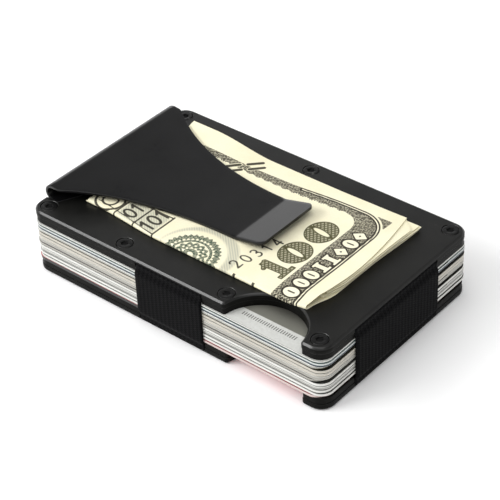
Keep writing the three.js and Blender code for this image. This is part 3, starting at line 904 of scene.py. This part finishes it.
def strip_caps(count, rings):
    """End caps of a lofted sheet, as strips of quads from one skin to the other."""
    last = (rings - 1) * count
    strip = [(i, i + 1, count - 2 - i, count - 1 - i) for i in range(count // 2 - 1)]
    return [quad[::-1] for quad in strip] + [tuple(last + i for i in quad) for quad in strip]


# Print on the notes. Each function gives the signed distance in millimetres to a shape,
# negative inside it. x and y are arrays of places on the unfolded note, and the print reads
# along +Y with its tops towards -X.

def edge_box(x, y, cx, cy, hx, hy):
    dx, dy = np.abs(x - cx) - hx, np.abs(y - cy) - hy
    return np.hypot(np.maximum(dx, 0), np.maximum(dy, 0)) + np.minimum(np.maximum(dx, dy), 0)


def edge_ellipse(x, y, cx, cy, rx, ry, lean=0.0):
    c, s = math.cos(lean), math.sin(lean)
    dx, dy = (x - cx) * c + (y - cy) * s, (y - cy) * c - (x - cx) * s
    return (np.hypot(dx / rx, dy / ry) - 1) * min(rx, ry)


def edge_corner(x, y, right, top, r):
    """The quarter plane left of right and below top, its corner rounded."""
    qx, qy = x - right + r, y - top + r
    return np.hypot(np.maximum(qx, 0), np.maximum(qy, 0)) + np.minimum(np.maximum(qx, qy), 0) - r


def edge_stroke(x, y, points, width):
    """A polyline drawn with a round pen."""
    best = np.full(x.shape, 1e3)
    for (ax, ay), (bx, by) in zip(points, points[1:]):
        dx, dy = bx - ax, by - ay
        t = np.clip(((x - ax) * dx + (y - ay) * dy) / (dx * dx + dy * dy), 0, 1)
        best = np.minimum(best, np.hypot(x - ax - dx * t, y - ay - dy * t))
    return best - width / 2


def edge_ring(x, y, cx, cy, radius, half):
    return np.abs(edge_ellipse(x, y, cx, cy, radius, radius)) - half


def union(parts):
    return np.minimum.reduce(parts)


def bow(cx, cy, rx, ry, start, end, steps=10):
    angles = np.radians(np.linspace(start, end, steps + 1))
    return [(cx + rx * math.cos(a), cy + ry * math.sin(a)) for a in angles]


DIGITS = {
    0: bow(0.5, 0.5, 0.42, 0.5, 90, 450, 16),
    1: [(0.2, 0.75), (0.55, 1.0), (0.55, 0.0)],
    2: bow(0.5, 0.7, 0.42, 0.3, 160, -40) + [(0.08, 0.0), (0.95, 0.0)],
    3: bow(0.45, 0.75, 0.38, 0.25, 140, -90) + bow(0.45, 0.26, 0.44, 0.26, 90, -140),
    4: [(0.95, 0.3), (0.05, 0.3), (0.7, 1.0), (0.7, 0.0)],
}


def digits(x, y, values, start, step, height, width):
    """A row of digits. Each is centred a step after the one before."""
    parts = []
    for k, value in enumerate(values):
        cx, cy = start[0] + step[0] * k, start[1] + step[1] * k
        points = [(cx + (0.5 - b) * height, cy + (a - 0.5) * height * 0.62) for a, b in DIGITS[value]]
        parts.append(edge_stroke(x, y, points, width))
    return parts


def panel_print(x, y):
    """The ruled panels with digits and a ringed emblem, beside the clip."""
    lines = [edge_box(x, y, bx, -15, 0.24, 4.6) for bx in (-12.0, -18.3, -24.6)]
    lines += [
        edge_stroke(x, y, [(-30, -12.2), (-12.0, -11.0)], 0.4),
        edge_stroke(x, y, [(-31, -17.0), (-12.0, -18.3)], 0.3),
        edge_ring(x, y, -28.6, -15.4, 3.6, 0.3),
        edge_ring(x, y, -28.6, -15.4, 1.9, 0.28),
    ]
    lines += digits(x, y, [0, 1], (-21.5, -16.1), (0, 2.5), 3.7, 0.62)
    return lines + digits(x, y, [1, 0, 1], (-15.2, -16.9), (0, 2.6), 3.9, 0.66)


def bar_pairs(x, y):
    """Two pairs of slanted bars across the border at the back."""
    bars = []
    for cx, cy in [(-10.35, 16.4), (-14.2, 12.5)]:
        for side in (-1, 1):
            bx, by = cx + 0.72 * side, cy - 0.65 * side
            bars.append(edge_stroke(x, y, [(bx - 1.22, by - 1.33), (bx + 1.22, by + 1.33)], 0.9))
    return bars


def big_number(x, y):
    """The denomination: a one with a flag and a foot, and two zeros with slanted slits."""
    parts = [
        edge_box(x, y, 17.9, -11.5, 3.7, 1.2),
        edge_box(x, y, 21.2, -11.5, 0.65, 2.6),
        edge_stroke(x, y, [(14.5, -11.0), (16.1, -13.2)], 1.2),
    ]
    for cy in (-4.6, 4.8):
        slit = edge_ellipse(x, y, 18.1, cy, 2.45, 0.68, -0.145)
        parts.append(np.maximum(edge_ellipse(x, y, 18.1, cy, 3.85, 4.3), -slit))
    return parts


def band_figures(x, y):
    """Light rings, bars and lozenges in a row along the border at the notes' end."""
    parts = []
    for k, figure in enumerate(["ring", "ring", "ring", "bar", "bar", "lozenge", "ring", "lozenge"]):
        ax, ay = x - 26.2, y + 16.2 - 3.5 * k
        if figure == "ring":
            hole = 0.2 - np.hypot(ay, np.maximum(np.abs(ax) - 0.85, 0))
            parts.append(np.maximum(edge_ellipse(ax, ay, 0, 0, 1.95, 1.4), hole))
        elif figure == "bar":
            feet = np.minimum(edge_box(ax, ay, -1.65, 0, 0.3, 1.05), edge_box(ax, ay, 1.65, 0, 0.3, 1.3))
            parts.append(np.minimum(edge_box(ax, ay, 0, 0, 1.9, 0.6), feet))
        else:
            lozenge = np.abs(ax) * 0.72 + np.abs(ay) - 1.45
            parts.append(np.maximum(lozenge, 0.3 - np.hypot(ax, ay)))
    return parts


def seal_print(x, y):
    """A rosette of plain and scalloped rings."""
    r, a = np.hypot(x + 0.5, y + 18.9), np.arctan2(y + 18.9, x + 0.5)
    petals = 0.7 * np.cos(7 * a)
    return [
        np.abs(r - 6.3) - 0.72 - 0.3 * np.cos(34 * a),
        np.abs(r - 4.85) - 0.32,
        np.abs(r - 3.2 - petals) - 0.4,
        np.abs(r - 3.2 + petals) - 0.4,
        np.abs(r - 1.4) - 0.55,
    ]


def note_inks(x, y):
    """The print on a note, one signed distance for each ink."""
    bars = bar_pairs(x, y)
    serial = digits(x, y, [2, 0, 3, 1, 4], (10.0, -15.5), (0.6, 2.9), 2.9, 0.42)
    marks = [edge_box(x, y, bx, -18.9, 0.35, 0.7) for bx in (12.1, 17.5)]
    sag = 1 - smooth(x, 1, 17)
    outer = edge_corner(x, y + sag * (1.2 - 0.035 * x), 29.4, 17.0, 8)
    inner = edge_corner(x, y + 0.8 * sag, 22.6, 14.2, 5)
    ragged = np.sin(6.1 * x) * np.sin(3.7 * x + 1) + 0.4
    inner = inner + 0.4 * (1 - smooth(x, 16, 21)) * ragged
    band = np.maximum(np.maximum(outer, -inner), 0.16 - union(bars))
    fan = np.maximum(np.maximum(edge_corner(x, y, 28.9, 16.9, 0.3), 0.45 - outer), 23.0 - x)
    border_line = np.maximum(np.abs(outer + 0.55) - 0.16, 4 - x)
    halo = np.maximum(np.hypot(x - 0.5, y + 17.9) - 10.2, 8.2 - np.hypot(x + 0.6, y + 18.8))
    return {
        "ink_dark": union(serial + panel_print(x, y) + bars + marks),
        "ink_big": union(big_number(x, y)),
        "ink_band": np.minimum(band, fan),
        "ink_light": union(band_figures(x, y) + [border_line]),
        "ink_seal": union(seal_print(x, y)),
        "ink_faint": np.minimum(halo, edge_box(x, y, -18.3, -15, 6.2, 3.6)),
    }


def print_note(m, place, paper):
    """Lays the inks over the paper colour: hatched, speckled or solid, with soft edges."""
    x, y = m.split(place)[0:2]
    light = m.attribute("ink_light")
    scribble = m.noise(place, 2.3, 2, 0.5)

    def amount(ink):
        return m.span(m.attribute(ink), 0.07, -0.07)

    def hatching(a, b, pitch):
        return m.wave(m.plus(m.times(x, a), m.times(y, b)), pitch)

    faint = m.span(m.attribute("ink_faint"), 0.1, -0.9)
    shading = m.times(faint, m.span(hatching(0.7, 0.7, 0.55), -1, 1, 0.45, 0.75))
    colour = m.mix(shading, paper, linear(170, 172, 158))

    lines = m.times(hatching(1, 0.3, 0.62), hatching(0.25, 1, 0.55))
    speckle = m.span(m.plus(scribble, m.times(lines, 0.3)), 0.42, 0.72, 1.0, 0.36)
    band = amount("ink_band")
    outline = m.span(light, 0.7, 0.25)
    colour = m.mix(m.times(band, m.math("MAXIMUM", outline, speckle)), colour, linear(50, 45, 38))
    colour = m.mix(m.times(amount("ink_light"), band), colour, linear(250, 244, 216))

    net = m.math("MAXIMUM", hatching(0.8, 0.6, 0.8), hatching(0.8, -0.6, 0.8))
    rim = m.span(m.attribute("ink_big"), -0.42, -0.22)
    netted = m.math("MAXIMUM", rim, m.span(net, 0.0, 0.8, 0.62, 0.98))
    colour = m.mix(m.times(amount("ink_big"), netted), colour, linear(84, 82, 54))

    rosette = m.times(amount("ink_seal"), m.span(scribble, 0.35, 0.65, 1, 0.62))
    colour = m.mix(rosette, colour, linear(52, 76, 60))
    return m.mix(m.times(amount("ink_dark"), 0.95), colour, linear(40, 37, 31))


def note_material(name, printed):
    """Cotton paper with fine fibres and soft creases, and line printing where there is any."""
    m = Material(name, Roughness=0.82, Specular_IOR_Level=0.25)
    place = m.place()
    fibre = m.noise(place, 2.4, 6, 0.7)
    blotch = m.noise(place, 0.12, 3, 0.5)
    fibres = m.span(fibre, 0.25, 0.75, kind="LINEAR")
    paper = m.mix(fibres, linear(252, 247, 220), linear(244, 238, 206))
    paper = m.mix(m.span(blotch, 0.35, 0.75, 0, 0.5), paper, linear(240, 232, 196))
    m.set("Base Color", print_note(m, place, paper) if printed else paper)
    m.bump(m.plus(fibre, m.times(blotch, 2.0)), 0.35, 0.05)
    return m.data


def make_wad(name, node, path, x_steps, printed):
    shape, places = wad_shape(path, x_steps)
    obj = make_object(name, shape)
    if printed:
        for ink, values in note_inks(places[:, 0], places[:, 1]).items():
            layer = obj.data.attributes.new(ink, "FLOAT", "POINT")
            layer.data.foreach_set("value", values.astype(np.float32))
    paper = note_material(f"paper_{name}", printed)
    finish_piece(obj, paper, [node], "banknotes", angle=50, weighted=False)


make_wad("note_wad_inner", "banknote_lower", inner_sheets(), 60, False)
make_wad("note_wad_outer", "banknote_upper", outer_sheet(), 205, True)


# ---------------- studio

def stage_floor():
    """A plain pale floor, lit a little from itself so that it stays white round the wallet."""
    m = Material("floor_white", Roughness=0.9, Specular_IOR_Level=0.1)
    tone = m.noise(m.place(), 0.02, 2, 0.4)
    m.set("Base Color", m.mix(tone, linear(255, 255, 255), linear(253, 253, 253)))
    m.set("Emission Color", (1, 1, 1, 1))
    m.set("Emission Strength", 0.08)
    size, z = 3000, -0.02
    corners = [(-size, -size, z), (size, -size, z), (size, size, z), (-size, size, z)]
    floor = make_object("floor", (corners, [(0, 1, 2, 3)]))
    floor.data.transform(Matrix.Scale(MM, 4))
    floor.data.materials.append(m.data)


def softbox(name, azimuth, elevation, distance, width, height, watts):
    """An area light that faces the wallet. Azimuth 0 is at -Y and 90 at +X."""
    a, e = math.radians(azimuth), math.radians(elevation)
    away = Vector((math.sin(a) * math.cos(e), -math.cos(a) * math.cos(e), math.sin(e)))
    light = bpy.data.lights.new(name, "AREA")
    light.shape = "RECTANGLE"
    light.size, light.size_y = width, height
    light.energy = watts
    lamp = bpy.data.objects.new(name, light)
    lamp.location = away * distance
    lamp.rotation_euler = away.to_track_quat("Z", "Y").to_euler()
    scene.collection.objects.link(lamp)


def studio_world():
    """White low round the horizon and dimmer overhead, as a bright room with a dark ceiling is."""
    world = bpy.data.worlds.new("studio")
    world.use_nodes = True
    tree = world.node_tree
    back = tree.nodes["Background"]
    coords = tree.nodes.new("ShaderNodeTexCoord")
    parts = tree.nodes.new("ShaderNodeSeparateXYZ")
    ramp = tree.nodes.new("ShaderNodeValToRGB")
    tree.links.new(coords.outputs["Generated"], parts.inputs[0])
    tree.links.new(parts.outputs[2], ramp.inputs[0])
    tree.links.new(ramp.outputs[0], back.inputs[0])
    stops = [(0.0, 0.9), (0.25, 0.85), (0.5, 0.3), (0.75, 0.16), (1.0, 0.16)]
    elements = ramp.color_ramp.elements
    for place, value in stops[1:-1]:
        elements.new(place)
    for element, (place, value) in zip(elements, stops):
        element.position = place
        element.color = (value, value, value, 1)
    back.inputs[1].default_value = 1.0
    scene.world = world


def photo_camera():
    """The photo's view, as fitted to the plates' corners and screws."""
    azimuth, elevation, roll = math.radians(41.247), math.radians(37.03), math.radians(-2.632)
    distance, shift_right, shift_up = 402.879, 0.436, 0.770
    level = math.cos(elevation)
    back = Vector((math.sin(azimuth) * level, -math.cos(azimuth) * level, math.sin(elevation)))
    right = Vector((math.cos(azimuth), math.sin(azimuth), 0))
    up = back.cross(right)
    across = right * math.cos(roll) + up * math.sin(roll)
    above = up * math.cos(roll) - right * math.sin(roll)
    place = Vector((0, 0, 7)) + across * shift_right + above * shift_up + back * distance
    data = bpy.data.cameras.new("camera")
    data.lens = 125.58
    data.sensor_width = 36
    data.clip_start = 0.01
    camera = bpy.data.objects.new("camera", data)
    frame_axes = Matrix((across, above, back)).transposed().to_4x4()
    camera.matrix_world = Matrix.Translation(place * MM) @ frame_axes
    scene.collection.objects.link(camera)
    scene.camera = camera


stage_floor()
studio_world()
softbox("key_overhead", azimuth=20, elevation=78, distance=0.8, width=0.9, height=0.9, watts=4.6)
softbox("front_left", azimuth=-41, elevation=37, distance=0.9, width=0.55, height=0.26, watts=4.6)
softbox("back_left", azimuth=-129, elevation=14, distance=0.9, width=0.8, height=0.3, watts=0.8)
photo_camera()
scene.view_settings.view_transform = "Standard"
